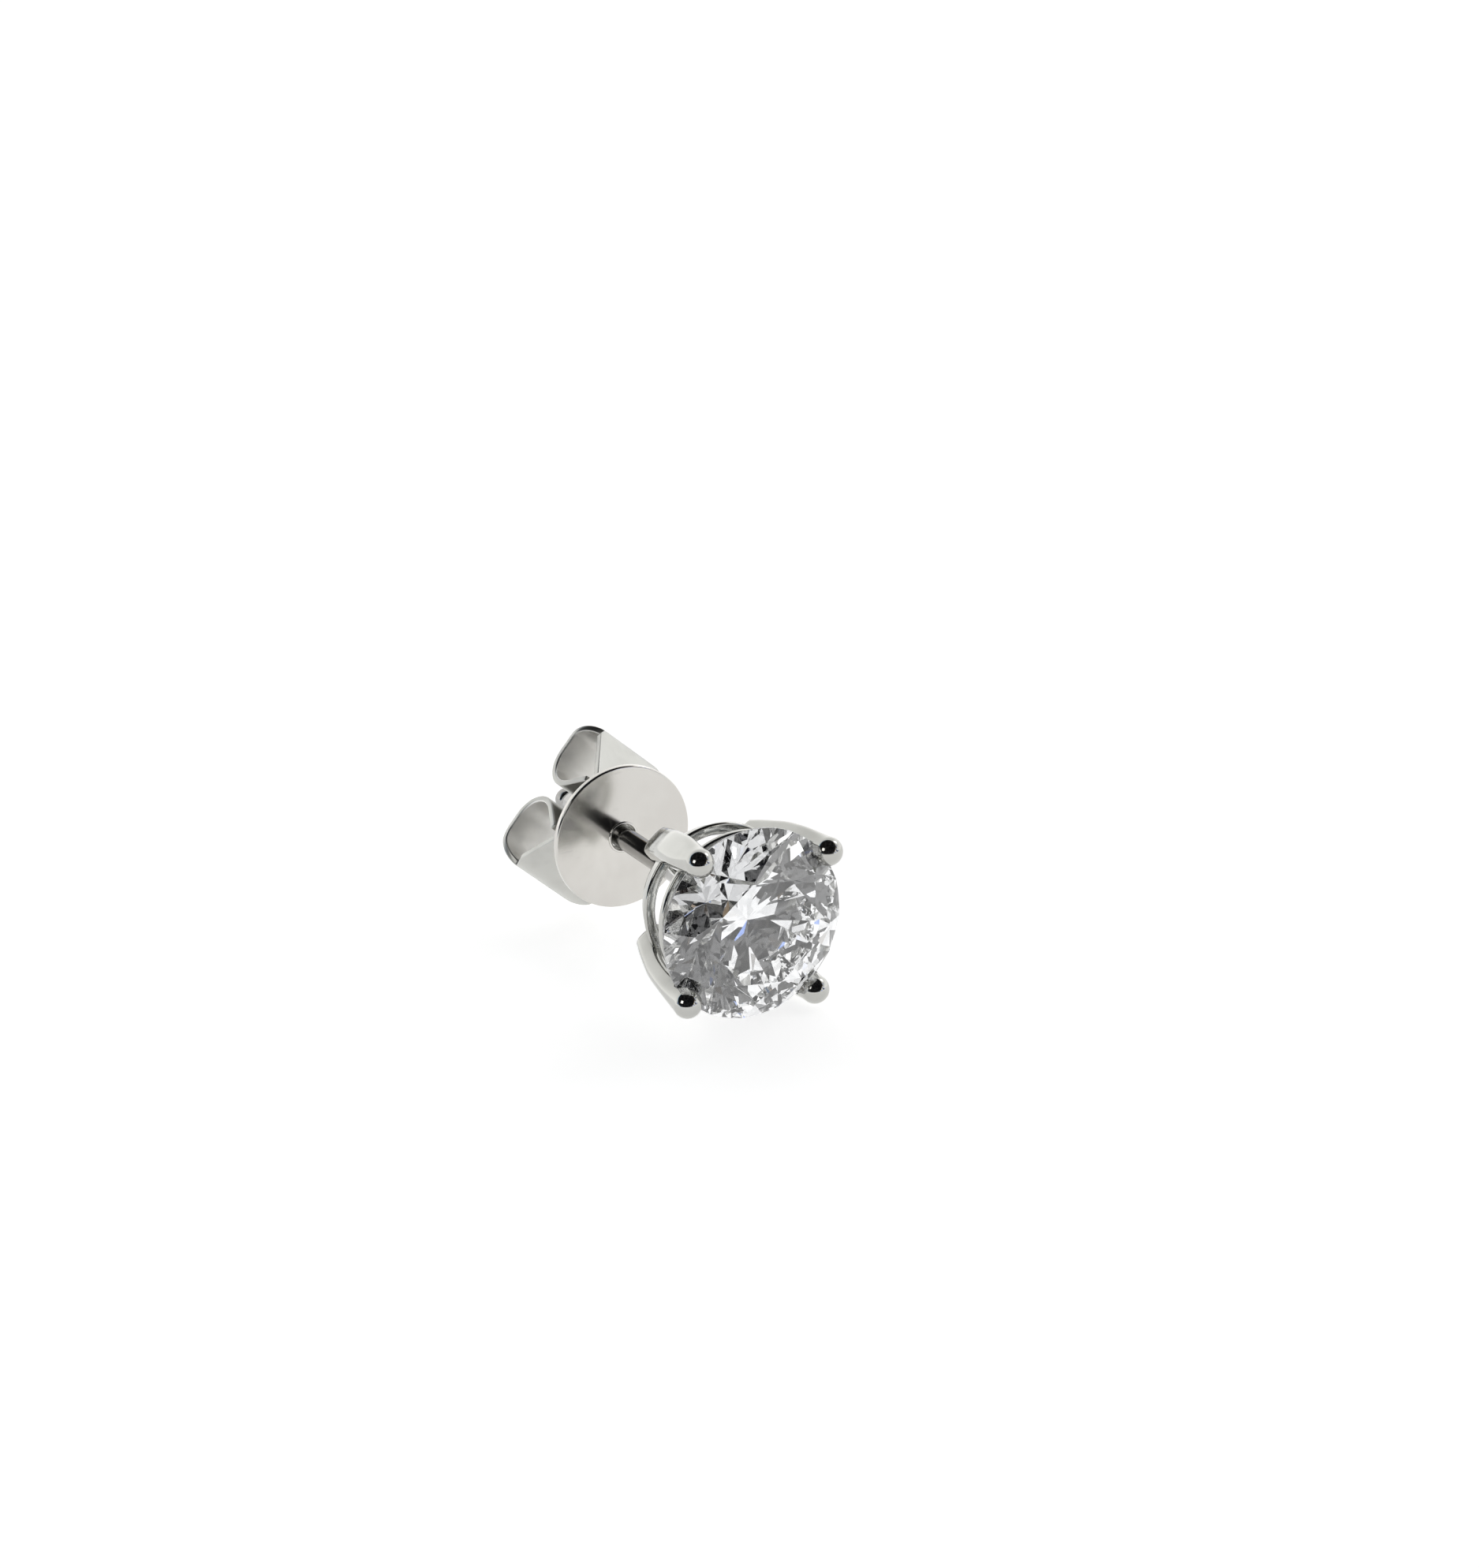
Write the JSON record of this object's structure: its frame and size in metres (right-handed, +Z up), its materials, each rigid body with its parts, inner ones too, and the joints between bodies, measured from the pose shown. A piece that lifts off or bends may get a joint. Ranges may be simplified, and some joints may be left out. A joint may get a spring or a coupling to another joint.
{
  "type": "stud earring",
  "caption": "Round brilliant stud earring: stone in an open four-claw basket on a straight post, with a friction butterfly back of a disc and two scrolls.",
  "frame": {"origin": "centre of the bounding box on the surface that the earring lies on", "axes": "+Z up as it lies by itself; the post runs along +Y and dips a little towards its end; the stone faces -Y"},
  "size_m": [0.0064, 0.0148, 0.0065],
  "materials": {
    "diamond": "colourless polished diamond with a refractive index of 2.42",
    "setting_platinum": "polished platinum, mirror bright at its edges",
    "back_platinum": "polished platinum, a little softer on the disc and scrolls"
  },
  "bodies": {
    "stud": {"stone": "diamond", "setting": "setting_platinum"},
    "back": {"butterfly_back": "back_platinum"}
  },
  "joints": [
    {"name": "back_slide", "type": "slide", "parent": "stud", "child": "back", "axis": [0, 0.9999, -0.0127], "range_m": [-0.0053, 0.0045]}
  ]
}
